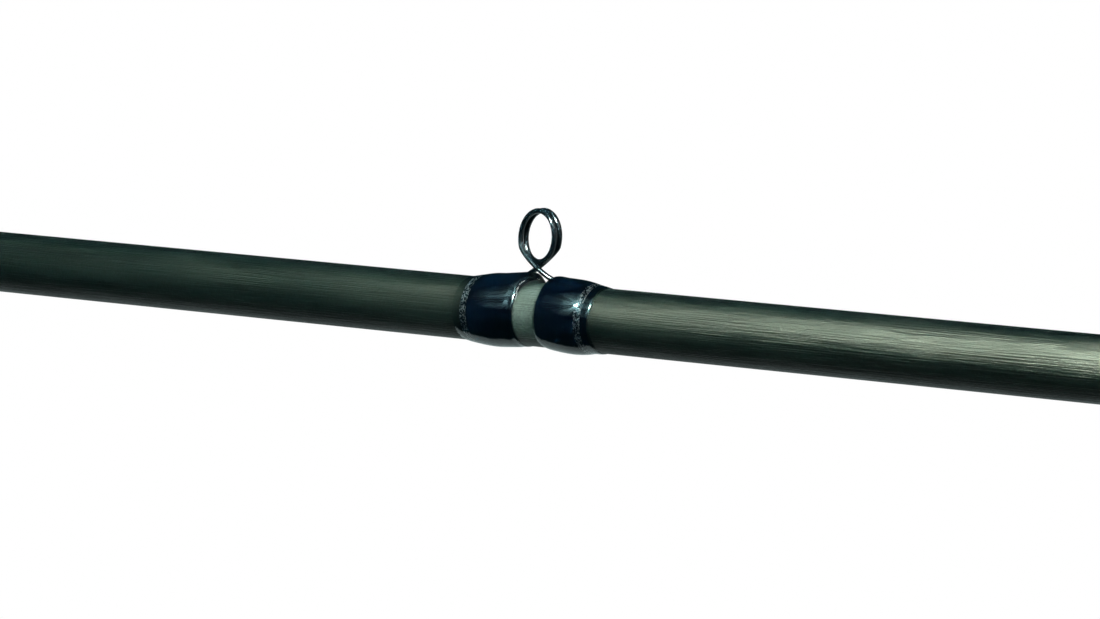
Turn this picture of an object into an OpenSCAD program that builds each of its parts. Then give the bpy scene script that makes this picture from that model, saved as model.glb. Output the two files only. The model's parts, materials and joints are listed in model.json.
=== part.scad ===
// Two-piece spinning rod, six foot long. The rod's axis is X, the tip is at +X.
// Stations along the rod (names ending in _s) are measured in mm from the butt end.

/* [Rod] */
// Outer diameter of the butt blank where it starts
butt_d = 11.74; // [10:0.01:13]
// Loss of diameter of the butt blank per mm of length
butt_taper = 0.0045; // [0.003:0.0001:0.0055]
// Wall thickness of the blank
wall = 1.1; // [0.8:0.05:1.4]
// Station of the front end of the butt blank, inside the ferrule
butt_end_s = 966; // [950:1:990]
// Station of the rear end of the tip section
tip_start_s = 906; // [890:1:920]
// Station of the front end of the tip blank
tip_end_s = 1818; // [1790:1:1850]
// Outer diameter of the tip blank at its rear end, over the ferrule
tip_base_d = 9.3; // [9.2:0.05:10]
// Outer diameter of the tip blank at its front end
tip_end_d = 1.9; // [1.6:0.05:2.4]

/* [Grip] */
// Radius of the rear grip where a rod holder takes it
grip_r = 12.5; // [12:0.1:14]
// Length of the butt cap
cap_len = 24; // [20:1:30]
// Length of each dark trim ring on the grips
trim_len = 8; // [5:1:12]
// Station of the front end of the rear grip
rear_grip_end_s = 176; // [160:1:180]

/* [Reel seat] */
// Length of the reel seat's body
seat_len = 118; // [114:1:122]
// Radius of the barrel that the reel foot lies on
barrel_r = 9.4; // [9.2:0.05:9.6]
// Crest radius of the barrel's thread
thread_r = 10; // [9.9:0.05:10.1]
// Pitch of the barrel's thread
thread_pitch = 2.5; // [2:0.5:3]
// Radius of the roof of both hood pockets
roof_r = 15.2; // [15:0.05:15.6]
// Depth of both hood pockets
pocket_depth = 14; // [12:1:16]

/* [Foregrip] */
// Length of the foregrip with its trim rings
foregrip_len = 70; // [50:1:90]
// Radius of the foregrip at the reel seat
foregrip_r = 12; // [11.5:0.1:13]
// Length of the winding check
check_len = 5; // [4:0.5:6]

/* [Hook keeper] */
// Distance from the winding check to the keeper
keeper_gap = 150; // [140:1:170]
// Wire diameter of the keeper
wire_d = 0.78; // [0.7:0.02:0.9]
// Mean diameter of the keeper's coil
coil_d = 7.4; // [7:0.1:8]
// Advance of the coil per turn
coil_pitch = 0.96; // [0.92:0.01:1.2]
// Height of the coil's centre over the blank's axis
coil_z = 11.42; // [11:0.02:12]
// Turn of the coil about the vertical
coil_twist = 16; // [0:1:20]
// Lean of the coil towards its far side
coil_lean = 6; // [0:1:8]

/* [Windings] */
// Thickness of a thread winding
thread_t = 0.14; // [0.1:0.01:0.2]
// Crown height of the clear finish over a winding
finish_t = 0.56; // [0.5:0.02:0.8]
// Length of clear finish past each end of a guide's thread
finish_lip = 0.9; // [0.5:0.1:1.5]

/* [Guides] */
// Tilt of the guide rings towards the tip
ring_tilt = 8; // [0:1:12]
// Outer diameter of the tip-top's ring
tip_ring_d = 5.6; // [5:0.1:6]
// Inner diameter of the tip-top's ring
tip_bore_d = 3.4; // [3.2:0.1:3.6]
// Length of the tip-top's tube
tip_tube_len = 13; // [10:1:15]

/* [Hidden] */
$fn = 96;
FACETS = 10;         // sides of the keeper's wire
EPS = 0.02;          // bond gap between glued pieces
CUT = 1;             // overrun of a cutting tool
// station, ring outer diameter, ring bore, height of the ring's centre, number of feet
guides = [
    [820, 25, 18.4, 27, 2],
    [1075, 16, 11.2, 18.5, 2],
    [1290, 10, 6.8, 12, 1],
    [1460, 8, 5.2, 9.2, 1],
    [1600, 7, 4.4, 7.7, 1],
    [1716, 6, 3.7, 6.5, 1],
];
origin_s = cap_len + trim_len;                     // rear end of the rear grip's cork
grip_straight_end_s = origin_s + 100;
seat_s = rear_grip_end_s + 4;
seat_end_s = seat_s + seat_len;
thread_s = seat_s + 4;
thread_end_s = thread_s + 46;
bed_end_s = seat_s + 90;
seat_bore_r = 7.2;
hood_ring_r = 11.7;
hood_mouth_r = roof_r + 1.3;
hood_s = seat_s + 24.6;
hood_len = 25;
nut_s = seat_s + 8;
nut_len = 14;
nut_r = 12.4;
liner_t = 0.5;
foregrip_end_s = seat_end_s + foregrip_len;
check_s = foregrip_end_s;
keeper_s = check_s + check_len + keeper_gap;
keeper_r = (butt_d - butt_taper * keeper_s) / 2;   // blank's radius under the keeper
tube_r = tip_end_d / 2 + 0.35;
tip_ring_s = tip_end_s + 10;
tip_ring_z = -4.6;
arbor_s = [seat_s + 2, seat_s + 48, seat_s + 94];
arbor_len = 20;

// ---- shapes that repeat ----

function butt_r(s) = (butt_d - butt_taper * s) / 2;
function tip_r(s) = let (t = (s - tip_start_s) / (tip_end_s - tip_start_s))
    (tip_base_d * (1 - t) + tip_end_d * t) / 2;
function blank_r(s) = s < tip_start_s ? butt_r(s) : tip_r(s);

// Moves a station to its place in the part's frame
module at(s = 0) translate([s - origin_s, 0, 0]) children();

// Turns an outline of [station, radius] points about the rod's axis
module turned(outline)
    rotate([0, 90, 0]) rotate_extrude() polygon([for (p = outline) [p[1], p[0]]]);

// A cone or cylinder along the rod between two stations
module along(s0, s1, r0, r1) translate([s0, 0, 0]) rotate([0, 90, 0]) cylinder(h = s1 - s0, r1 = r0, r2 = r1);

// A round bar between two points
module bar(p, q, r) {
    d = q - p;
    translate(p) rotate([0, acos(d[2] / norm(d)), atan2(d[1], d[0])]) cylinder(h = norm(d), r = r);
}

// The blank's outside between two stations, grown by a gap
function section_r(s, near) = near < tip_start_s ? butt_r(s) : tip_r(s);
module blank_core(s0, s1, gap) let (near = (s0 + s1) / 2)
    along(s0 - CUT, s1 + CUT, section_r(s0 - CUT, near) + gap, section_r(s1 + CUT, near) + gap);

// A coat on the blank: an outline of [station, thickness] points about the rod's axis
module coat(points) turned(concat(
    [[points[0][0], 0]],
    [for (p = points) [p[0], blank_r(p[0]) + p[1]]],
    [[points[len(points) - 1][0], 0]]));

// Thickness of clear finish that is thin at its lips and crowned in between
function crown(s0, s1, lip0, lip1) = let (edge = thread_t + 0.08, a = s0 + lip0, run = s1 - lip1 - a) concat(
    [[s0, 0.04]],
    [for (i = [0:8]) let (u = i / 8) [a + run * u, edge + (finish_t - edge) * 4 * u * (1 - u)]],
    [[s1, 0.04]]);

// A hump over a foot on the blank's side up (+1) or down (-1), from its height over the blank at each
// station; lift moves its axis off the rod's axis, so the hump is narrower than the rod
module hump(points, lift, side) translate([0, 0, side * lift]) turned(concat(
    [[points[0][0], 0]],
    [for (p = points) [p[0], blank_r(p[0]) + p[1] - lift]],
    [[points[len(points) - 1][0], 0]]));

// ---- handle ----

module butt_blank() color("darkslategray") at() difference() {
    along(8, butt_end_s, butt_r(8), butt_r(butt_end_s));
    along(8 - CUT, butt_end_s + CUT, butt_r(8) - wall, butt_r(butt_end_s) - wall);
}

module butt_cap() color("dimgray") at() difference() {
    turned(concat(
        [[0, 0], [0, grip_r - 4]],
        [for (a = [15:15:90]) [3 - 3 * cos(a), grip_r - 4 + 3.9 * sin(a)]],
        [[cap_len, grip_r - 0.1], [cap_len, 0]]));
    along(8 - EPS, cap_len + CUT, butt_r(8) + EPS, butt_r(8) + EPS);
    for (i = [0:2]) turned([[8 + 4 * i, grip_r - 0.6], [10 + 4 * i, grip_r - 0.6],
                            [10 + 4 * i, grip_r + CUT], [8 + 4 * i, grip_r + CUT]]);
}

// A grip piece: an outline about the axis with the blank's bore
module grip_piece(s0, s1, outline) at() difference() {
    turned(concat([[s0, 0]], outline, [[s1, 0]]));
    blank_core(s0, s1, EPS);
}

module rear_trim() color("saddlebrown")
    grip_piece(cap_len, origin_s, [[cap_len, grip_r - 0.3], [origin_s, grip_r - 0.3]]);

module rear_grip() color("burlywood") {
    neck = 10.9;
    run = rear_grip_end_s - grip_straight_end_s;
    grip_piece(origin_s, rear_grip_end_s, concat([[origin_s, grip_r]],
        [for (i = [0:8]) let (u = i / 8)
            [grip_straight_end_s + run * u, neck + (grip_r - neck) * (1 + cos(180 * u)) / 2]]));
}

module seat_check() color("silver")
    grip_piece(rear_grip_end_s, seat_s, [
        [rear_grip_end_s, 11.1], [rear_grip_end_s + 0.4, 11.5],
        [seat_s - 0.4, 11.5], [seat_s, 11.1]]);

module seat_arbors() color("black") for (s = arbor_s) at() difference() {
    along(s, s + arbor_len, seat_bore_r - EPS, seat_bore_r - EPS);
    blank_core(s, s + arbor_len, EPS);
}

// The outside of a hood's pocket housing, from its closed end to its mouth
module hood_housing(s0, s1, r0, r1) intersection() {
    along(s0, s1, r0, r1);
    translate([0, 0, -7.3]) along(s0, s1, 10.2, 10.2);
}

// The pocket that takes one end of a reel foot
module foot_pocket(s0, s1) intersection() {
    along(s0, s1, roof_r, roof_r);
    translate([s0, -7.3, -roof_r - CUT]) cube([s1 - s0, 14.6, roof_r + CUT]);
}

// The metal lining of a pocket's roof
module pocket_liner(s0, s1) intersection() {
    difference() {
        along(s0, s1, roof_r - EPS, roof_r - EPS);
        along(s0 - CUT, s1 + CUT, roof_r - liner_t, roof_r - liner_t);
    }
    translate([s0, -7.2, -roof_r - CUT]) cube([s1 - s0, 14.4, roof_r - 5]);
}

module reel_seat() color("dimgray") at() {
    grooves = floor((thread_end_s - thread_s) / thread_pitch);
    fixed_mouth_s = bed_end_s;
    difference() {
        union() {
            turned(concat(
                [[seat_s, seat_bore_r], [seat_s, 10.6], [seat_s + 0.6, 11.2], [seat_s + 3.4, 11.2],
                 [thread_s, 10.6], [thread_s, barrel_r - 0.1]],
                [for (i = [0:grooves - 1]) let (s = thread_s + i * thread_pitch) each
                    [[s + 0.5, barrel_r - 0.1], [s + 1.1, thread_r], [s + 1.7, thread_r], [s + 2.3, barrel_r - 0.1]]],
                [[thread_end_s, barrel_r - 0.1], [thread_end_s + 1, barrel_r], [bed_end_s, barrel_r],
                 [seat_end_s - 4, hood_ring_r - 0.6], [seat_end_s - 0.6, hood_ring_r], [seat_end_s, hood_ring_r - 0.6],
                 [seat_end_s, seat_bore_r]]));
            difference() {
                union() {
                    along(fixed_mouth_s, seat_end_s - 4, hood_ring_r, hood_ring_r - 0.6);
                    hood_housing(fixed_mouth_s, seat_end_s - 2, hood_mouth_r, hood_ring_r - 0.4);
                }
                along(fixed_mouth_s - CUT, seat_end_s - 4, seat_bore_r, seat_bore_r);
                difference() {
                    foot_pocket(fixed_mouth_s - CUT, fixed_mouth_s + pocket_depth);
                    along(fixed_mouth_s - 2 * CUT, fixed_mouth_s + pocket_depth + CUT, barrel_r, barrel_r);
                }
            }
        }
        along(seat_s - CUT, seat_end_s + CUT, seat_bore_r, seat_bore_r);
    }
}

module fixed_hood_liner() color("silver") at() pocket_liner(bed_end_s + 0.3, bed_end_s + pocket_depth - 0.3);

module sliding_hood() color("dimgray") at() {
    mouth_s = hood_s + hood_len;
    difference() {
        union() {
            along(hood_s, mouth_s, hood_ring_r, hood_ring_r);
            hood_housing(hood_s, mouth_s, hood_ring_r + 0.6, hood_mouth_r);
        }
        along(hood_s - CUT, mouth_s + CUT, thread_r + 0.08, thread_r + 0.08);
        foot_pocket(mouth_s - pocket_depth, mouth_s + CUT);
    }
}

module sliding_hood_liner() color("silver") at()
    pocket_liner(hood_s + hood_len - pocket_depth + 0.3, hood_s + hood_len - 0.3);

module lock_nut() color("dimgray") at() difference() {
    flutes = 20;
    turned([[nut_s, 0], [nut_s, nut_r - 0.8], [nut_s + 0.8, nut_r], [nut_s + nut_len, nut_r], [nut_s + nut_len, 0]]);
    along(nut_s - CUT, nut_s + nut_len + CUT, thread_r + 0.08, thread_r + 0.08);
    for (i = [0:flutes - 1]) rotate([i * 360 / flutes, 0, 0]) translate([0, 0, nut_r + 0.7])
        along(nut_s + 2.5, nut_s + nut_len - 1.5, 1.4, 1.4);
}

module lock_nut_ring() color("silver") at() difference() {
    s = nut_s + nut_len;
    turned([[s, 0], [s, nut_r - 0.5], [s + 0.4, nut_r - 0.1], [s + 2, nut_r - 0.1], [s + 2.5, nut_r - 0.6], [s + 2.5, 0]]);
    along(s - CUT, s + 3.5, thread_r + 0.08, thread_r + 0.08);
}

module foregrip_rear_trim() color("saddlebrown")
    grip_piece(seat_end_s, seat_end_s + trim_len, [
        [seat_end_s, foregrip_r - 0.4], [seat_end_s + 0.4, foregrip_r], [seat_end_s + trim_len, foregrip_r]]);

// Radius of the foregrip's taper at a share u of its length
function foregrip_taper(u) = foregrip_r - 2.9 * (1 - cos(90 * u));

module foregrip() color("burlywood") {
    s0 = seat_end_s + trim_len;
    s1 = foregrip_end_s - trim_len;
    grip_piece(s0, s1, [for (i = [0:10]) [s0 + (s1 - s0) * i / 10, foregrip_taper(i / 10)]]);
}

module foregrip_front_trim() color("saddlebrown") {
    s0 = foregrip_end_s - trim_len;
    r = foregrip_taper(1);
    grip_piece(s0, foregrip_end_s, [[s0, r], [foregrip_end_s - 1, r - 0.2], [foregrip_end_s, r - 0.8]]);
}

module winding_check() color("silver")
    grip_piece(check_s, check_s + check_len, [
        [check_s, 8.4], [check_s + 0.5, 8.6], [check_s + 1.8, 8.6], [check_s + 2, 7.9],
        [check_s + check_len - 0.3, 6.1], [check_s + check_len, 5.8]]);

// A plain thread winding and its clear finish, with no foot under them
module plain_thread(s0, s1) at() difference() {
    coat([[s0, thread_t], [s1, thread_t]]);
    blank_core(s0, s1, EPS);
}

module plain_finish(s0, s1, lip0, lip1) at() difference() {
    coat(crown(s0, s1, lip0, lip1));
    blank_core(s0, s1, EPS);
    coat([[s0 + lip0 - EPS, thread_t + EPS], [s1 - lip1 + EPS, thread_t + EPS]]);
}

module check_thread() color("midnightblue") plain_thread(check_s + check_len + 0.1, check_s + check_len + 20);

module check_finish() color("slategray") {
    s = check_s + check_len;
    plain_finish(s + 0.02, s + 21.2, 0.08, 1.2);
}

// ---- hook keeper ----

// The keeper's own frame has x = 0 between its feet; the coil stands a little off it
coil_x = -0.2;
foot_tip = 7.4;      // end of a foot from the keeper's middle
pad_end = 5;         // where the flattened pad turns back to round wire
bend_x = 2.9;        // where the line of a leg meets the line of its foot
bend_run = 1.4;      // how far from there the leg starts to bend
pad_w = 1;           // half the pad's width
pad_t = 0.22;        // half the pad's thickness
foot_z = keeper_r + wire_d / 2 + 0.03;
pad_z = keeper_r + pad_t + 0.03;
coil_out = [-sin(coil_twist), -cos(coil_twist), 0];          // coil's axis, towards its front
coil_side = [cos(coil_twist), -sin(coil_twist), 0];
coil_up = [0, 0, cos(coil_lean)] - coil_out * sin(coil_lean);
touch = 55.8;        // degrees below level where a leg leaves the coil
coil_sweep = 360 + 180 + 2 * touch;
coil_steps = 54;

function coil_point(i) = let (u = i / coil_steps, a = coil_sweep * u - touch)
    [coil_x, 0, coil_z] + coil_d / 2 * (cos(a) * coil_side + sin(a) * coil_up)
    + coil_out * coil_pitch * coil_sweep / 360 * (u - 0.5);

// From the tip of a foot to the last point before the coil; the corner is a quadratic curve
function foot_path(side, joined) = let (
        q = [side * bend_x, 0, foot_z],
        a = q + [side * bend_run, 0, 0],
        b = q + (joined - q) / norm(joined - q) * bend_run)
    concat(
        [for (x = [foot_tip, pad_end]) [side * x, 0, pad_z]],
        [for (u = [0:0.2:1]) a * (1 - u) * (1 - u) + 2 * q * u * (1 - u) + b * u * u]);

rear_foot = foot_path(-1, coil_point(0));
front_foot = foot_path(1, coil_point(coil_steps));
wire_path = concat(rear_foot, [for (i = [0:coil_steps]) coil_point(i)],
                   [for (i = [len(front_foot) - 1:-1:0]) front_foot[i]]);
// Half width and half height of the wire at each point of its path
function wire_size(i) = let (k = min(i, len(wire_path) - 1 - i))
    k == 0 ? [pad_w * 0.7, pad_t] : k == 1 ? [pad_w, pad_t] : [wire_d / 2, wire_d / 2];

module hook_keeper() color("black") at(keeper_s) {
    n = len(wire_path);
    points = [for (i = [0:n - 1]) let (
            t = wire_path[min(i + 1, n - 1)] - wire_path[max(i - 1, 0)],
            f = t / norm(t),
            y = [0, 1, 0] - f[1] * f,
            w = y / norm(y),
            v = cross(f, w),
            size = wire_size(i)) each
        [for (k = [0:FACETS - 1]) let (a = 360 * k / FACETS)
            wire_path[i] + size[0] * cos(a) * w + size[1] * sin(a) * v]];
    sides = [for (i = [0:n - 2], k = [0:FACETS - 1]) let (a = i * FACETS, m = (k + 1) % FACETS) each
        [[a + k, a + FACETS + k, a + FACETS + m], [a + k, a + FACETS + m, a + m]]];
    ends = [[for (k = [0:FACETS - 1]) k], [for (k = [FACETS - 1:-1:0]) (n - 1) * FACETS + k]];
    polyhedron(points = points, faces = concat(sides, ends));
}

// Room for one foot and the lower part of its leg: a slot in the X-Z plane and a box for the pad
module foot_room(side, joined) {
    r = wire_d / 2 + 0.07;
    q = [side * bend_x, foot_z];
    run = [joined[0], joined[2]] - q;
    d = run / norm(run);
    out = [side * d[1], side * -d[0]];
    low = q - out * r;
    floor_z = keeper_r - 0.3;
    rotate([90, 0, 0]) linear_extrude(2 * r, center = true) polygon([
        [side * (pad_end + 0.2), floor_z],
        [side * (pad_end + 0.2), foot_z + r],
        q + [side * bend_run, r],
        q + d * bend_run + out * r,
        q + d * 6 + out * r,
        q + d * 6 - out * r,
        low + d * (floor_z - low[1]) / d[1]]);
    translate([side * (foot_tip + pad_end - 1) / 2, 0, keeper_r + pad_t])
        cube([foot_tip - pad_end + 1.2, 2 * pad_w + 0.1, 2 * pad_t + 0.16], center = true);
}

// Stretches of the thread, the clear finish and the metallic band on each side of the keeper
rear_thread = [-11.35, -1.75];
rear_clear = [-12.75, -1.6];
rear_band = [-11.1, -10.2];
front_thread = [2.4, 11.5];
front_clear = [1.9, 12];
front_band = [9.3, 10.3];
hump_lift = 2.2;
// Heights over the blank, at distances from the keeper's middle
rear_thread_hump = [[-8.9, 0.1], [-7.8, 0.68], [-5.2, 0.74], [-4.4, 0.97], [-1.75, 0.97]];
rear_clear_hump = [[-12, 0.12], [-10.5, 0.42], [-8.5, 0.78], [-6.5, 0.95], [-4, 1.22], [-2.2, 1.3], [-1.6, 0.7]];
rear_coat = [[-12.75, 0.04], [-12.2, 0.18], [-11, 0.32], [-9, 0.51], [-7, 0.56], [-5, 0.44], [-3, 0.26],
             [-1.8, 0.2], [-1.6, 0.05]];
front_thread_hump = [[2.4, 0.97], [4.4, 0.97], [5.2, 0.74], [7.8, 0.68], [8.9, 0.1]];
front_clear_hump = [[1.9, 0.7], [2.2, 1.08], [4, 1.08], [6, 0.98], [7.5, 0.88], [9, 0.64], [10, 0.42], [11, 0.24]];
front_coat = [[1.9, 0.04], [2.3, 0.2], [3, 0.27], [5, 0.49], [7, 0.56], [9, 0.42], [10.5, 0.26], [11.6, 0.2],
              [12, 0.04]];

function placed(points) = [for (p = points) [keeper_s + p[0], p[1]]];

// Thread over one of the keeper's feet, grown outwards for the cut in its finish
module keeper_thread_body(span, heights, grow) at() {
    s0 = keeper_s + span[0] - grow;
    s1 = keeper_s + span[1] + grow;
    coat([[s0, thread_t + grow], [s1, thread_t + grow]]);
    last = len(heights) - 1;
    grown = [for (i = [0:last]) let (p = heights[i], away = i == 0 ? -1 : i == last ? 1 : sign(p[0]))
        [p[0] + away * grow, p[1] + grow]];
    hump(placed(grown), hump_lift, 1);
}

// The stretch of rod between two distances from the keeper's middle
module slab(span) at(keeper_s) translate([span[0], -15, -15]) cube([span[1] - span[0], 30, 30]);

module keeper_thread(span, heights, band, side, joined) difference() {
    keeper_thread_body(span, heights, 0);
    at() blank_core(keeper_s + span[0], keeper_s + span[1], EPS);
    at(keeper_s) foot_room(side, joined);
    slab(band);
}

module keeper_band(span, band) intersection() {
    at() difference() {
        coat([[keeper_s + span[0], thread_t], [keeper_s + span[1], thread_t]]);
        blank_core(keeper_s + span[0], keeper_s + span[1], EPS);
    }
    slab(band + [EPS, -EPS]);
}

module keeper_finish(outline, heights, span, thread_heights, side, joined) difference() {
    at() union() {
        coat(placed(outline));
        hump(placed(heights), hump_lift, 1);
    }
    at() blank_core(keeper_s - 13, keeper_s + 13, EPS);
    keeper_thread_body(span, thread_heights, EPS);
    at(keeper_s) foot_room(side, joined);
}

module keeper_rear_thread() color("midnightblue")
    keeper_thread(rear_thread, rear_thread_hump, rear_band, -1, coil_point(0));
module keeper_rear_band() color("silver") keeper_band(rear_thread, rear_band);
module keeper_rear_finish() color("slategray") keeper_finish(
    rear_coat, rear_clear_hump, rear_thread, rear_thread_hump, -1, coil_point(0));
module keeper_front_thread() color("midnightblue")
    keeper_thread(front_thread, front_thread_hump, front_band, 1, coil_point(coil_steps));
module keeper_front_band() color("silver") keeper_band(front_thread, front_band);
module keeper_front_finish() color("slategray") keeper_finish(
    front_coat, front_clear_hump, front_thread, front_thread_hump, 1, coil_point(coil_steps));

// ---- tip section ----

module tip_blank() color("darkslategray") at() difference() {
    socket_end = butt_end_s + 4;
    along(tip_start_s, tip_end_s, tip_r(tip_start_s), tip_r(tip_end_s));
    along(tip_start_s - CUT, socket_end, butt_r(tip_start_s - CUT) + 0.03, butt_r(socket_end) + 0.03);
    along(socket_end - 0.01, tip_end_s - 120, tip_r(socket_end) - wall, 0.9);
}

module ferrule_thread() color("midnightblue") plain_thread(tip_start_s + 1, tip_start_s + 31);
module ferrule_finish() color("slategray")
    plain_finish(tip_start_s + 0.2, tip_start_s + 32.2, 0.8, 1.2);

// ---- guides ----

function guide_s(i) = guides[i][0];
function ring_r(i) = guides[i][1] / 2;
function wire_r(i) = 0.35 + 0.018 * guides[i][1];
function foot_len(i) = 5 + 0.45 * guides[i][1];
function feet(i) = guides[i][4];
// Where the legs leave the blank: behind the ring on a two-footed guide, and in front of it
function rear_exit(i) = guide_s(i) - 0.62 * guides[i][1];
function front_exit(i) = guide_s(i) + (feet(i) == 2 ? 0.4 : 0.62) * guides[i][1];
function foot_w(i) = 0.6 + 2 * wire_r(i);
// The feet lie just clear of the widest part of the blank under them
function seat_z(i) = blank_r(feet(i) == 2 ? rear_exit(i) - foot_len(i) : front_exit(i)) + EPS;
// A point on the guide's ring, at an angle from its lowest point towards the blank
function on_ring(i, angle, r) = let (c = [guide_s(i), 0, -guides[i][3]], y = r * sin(angle), z = r * cos(angle))
    c + [-z * sin(ring_tilt), y, z * cos(ring_tilt)];

// Angle on the ring, from its point nearest the blank, where a leg joins it
function leg_angle(i, dir) = dir < 0 ? 48 : feet(i) == 2 ? 14 : 40;

// Puts a ring's own axis, drawn along X, at the guide's ring
module at_ring(i) translate([guide_s(i), 0, -guides[i][3]]) rotate([0, -ring_tilt, 0]) children();

// One flat foot with a feathered end, grown by a gap; dir is +1 where it points to the tip
module guide_foot(i, exit, dir, grow = 0) {
    t = 2 * wire_r(i) + grow;
    start = exit - dir * (wire_r(i) + 2 * grow);
    end = exit + dir * (foot_len(i) + grow);
    z = seat_z(i) - 20 * grow;
    rotate([90, 0, 0]) linear_extrude(foot_w(i) + 2 * grow, center = true) polygon([
        [start, -z], [end, -z], [end, -seat_z(i) - 0.25 - grow],
        [end - dir * foot_len(i) * 0.6, -seat_z(i) - t], [start, -seat_z(i) - t]]);
}

module guide_frame(i) color("black") at() {
    r = wire_r(i);
    z = -seat_z(i) - r;
    at_ring(i) difference() {
        along(-r, r, ring_r(i), ring_r(i));
        along(-2 * r, 2 * r, ring_r(i) - 0.9 * r, ring_r(i) - 0.9 * r);
    }
    difference() {
        for (dir = feet(i) == 2 ? [-1, 1] : [1]) {
            exit = dir < 0 ? rear_exit(i) : front_exit(i);
            guide_foot(i, exit, dir);
            for (side = [-1, 1])
                bar([exit, side * 0.3, z], on_ring(i, side * leg_angle(i, dir), ring_r(i) - r * 0.2), r);
        }
        at_ring(i) along(-4 * r, 4 * r, ring_r(i) - 0.9 * r, ring_r(i) - 0.9 * r);
    }
}

module guide_ring(i) color("darkgray") at() at_ring(i)
    ceramic_ring(ring_r(i) - 0.9 * wire_r(i) - 0.01, guides[i][2] / 2, wire_r(i) + 0.35);

// A polished ring: a short straight land inside, rounded sides
module ceramic_ring(outer, inner, half) turned(concat(
    [[-half * 0.45, inner], [half * 0.45, inner]],
    [for (a = [-60:30:60]) [half * cos(a), (outer + inner) / 2 + (outer - inner) / 2 * sin(a)]],
    [[half * 0.5, outer], [-half * 0.5, outer]],
    [for (a = [60:-30:-60]) [-half * cos(a), (outer + inner) / 2 + (outer - inner) / 2 * sin(a)]]));

// Heights over the blank of the thread that covers a foot, from the ring's side outwards
function thread_heights(i, dir) = let (t = 2 * wire_r(i), n = foot_len(i), h = [
        [0.8, t + 0.34], [n * 0.45, t + 0.34], [n * 0.98, 0.62], [n + 1, 0.1]])
    [for (k = dir > 0 ? [0:3] : [3:-1:0]) h[k]];
function thread_span(i, exit, dir) = let (a = exit + dir * 0.8, b = exit + dir * (foot_len(i) + 1.6))
    [min(a, b), max(a, b)];
// The hump's radius is the least that still covers the foot's corners
function hump_r(i) = (foot_w(i) * foot_w(i) / 4 + 0.2) / 0.44 + 0.5;
function lift(i, exit) = max(0.15, blank_r(exit) + 2 * wire_r(i) + 0.34 - hump_r(i));

// Thread over one foot, grown outwards for the cut in its finish
module guide_thread_body(i, exit, dir, grow) {
    span = thread_span(i, exit, dir);
    coat([[span[0] - grow, thread_t + grow], [span[1] + grow, thread_t + grow]]);
    hump([for (p = thread_heights(i, dir)) [exit + dir * (p[0] + (p[0] > 2 ? grow : -grow)), p[1] + grow]],
         lift(i, exit), -1);
}

module guide_thread_on(i, exit, dir) difference() {
    span = thread_span(i, exit, dir);
    guide_thread_body(i, exit, dir, 0);
    blank_core(span[0], span[1], EPS);
    guide_foot(i, exit, dir, EPS);
}

module guide_finish_on(i, exit, dir) difference() {
    span = thread_span(i, exit, dir);
    n = foot_len(i);
    t = 2 * wire_r(i);
    top = [[0.4, t * 0.6], [0.8, t + 0.5], [n * 0.5, t + 0.5], [n, 0.8], [n + 1.6, 0.3]];
    union() {
        coat(crown(span[0] - finish_lip, span[1] + finish_lip, finish_lip, finish_lip));
        hump([for (k = dir > 0 ? [0:4] : [4:-1:0]) [exit + dir * top[k][0], top[k][1]]], lift(i, exit), -1);
    }
    blank_core(span[0] - 2, span[1] + 2, EPS);
    guide_thread_body(i, exit, dir, EPS);
    guide_foot(i, exit, dir, EPS);
    for (side = [-1, 1]) bar([exit, side * 0.3, -seat_z(i) - wire_r(i)],
        on_ring(i, side * leg_angle(i, dir), ring_r(i)), wire_r(i) + EPS);
}

module guide_thread(i) color("midnightblue") at() {
    if (feet(i) == 2) guide_thread_on(i, rear_exit(i), -1);
    guide_thread_on(i, front_exit(i), 1);
}

module guide_finish(i) color("slategray") at() {
    if (feet(i) == 2) guide_finish_on(i, rear_exit(i), -1);
    guide_finish_on(i, front_exit(i), 1);
}

// ---- tip-top ----

module tip_top_frame() color("black") at() {
    s0 = tip_end_s - tip_tube_len;
    half = 0.55;
    outer = tip_ring_d / 2;
    inner = outer - 0.45;
    difference() {
        union() {
            along(s0, tip_end_s + 1.2, tube_r + 0.5, tube_r + 0.3);
            for (side = [-1, 1]) bar([tip_end_s - 3, side * 0.9, -0.9], [tip_ring_s, side * (outer - 0.2), tip_ring_z], 0.4);
            bar([tip_end_s + 0.6, 0, 0], [tip_ring_s, 0, tip_ring_z + outer], 0.4);
            translate([tip_ring_s, 0, tip_ring_z]) along(-half, half, outer, outer);
        }
        translate([tip_ring_s, 0, tip_ring_z]) along(-3, 3, inner, inner);
        along(s0 - CUT, tip_end_s + EPS, tip_r(s0 - CUT) + EPS, tip_r(tip_end_s) + EPS);
    }
}

module tip_top_ring() color("darkgray") at()
    translate([tip_ring_s, 0, tip_ring_z]) ceramic_ring(tip_ring_d / 2 - 0.46, tip_bore_d / 2, 0.9);

module tip_top_thread() color("midnightblue") {
    s = tip_end_s - tip_tube_len;
    plain_thread(s - 7, s - 0.1);
}

module tip_top_finish() color("slategray") {
    s = tip_end_s - tip_tube_len;
    plain_finish(s - 7.8, s - 0.02, 0.8, 0.08);
}

// ---- nodes ----

butt_blank();
butt_cap();
rear_trim();
rear_grip();
seat_check();
seat_arbors();
reel_seat();
fixed_hood_liner();
sliding_hood();
sliding_hood_liner();
lock_nut();
lock_nut_ring();
foregrip_rear_trim();
foregrip();
foregrip_front_trim();
winding_check();
check_thread();
check_finish();
hook_keeper();
keeper_rear_thread();
keeper_rear_band();
keeper_rear_finish();
keeper_front_thread();
keeper_front_band();
keeper_front_finish();
tip_blank();
ferrule_thread();
ferrule_finish();
tip_top_frame();
tip_top_ring();
tip_top_thread();
tip_top_finish();
for (i = [0:len(guides) - 1]) {
    guide_frame(i);
    guide_ring(i);
    guide_thread(i);
    guide_finish(i);
}
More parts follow.
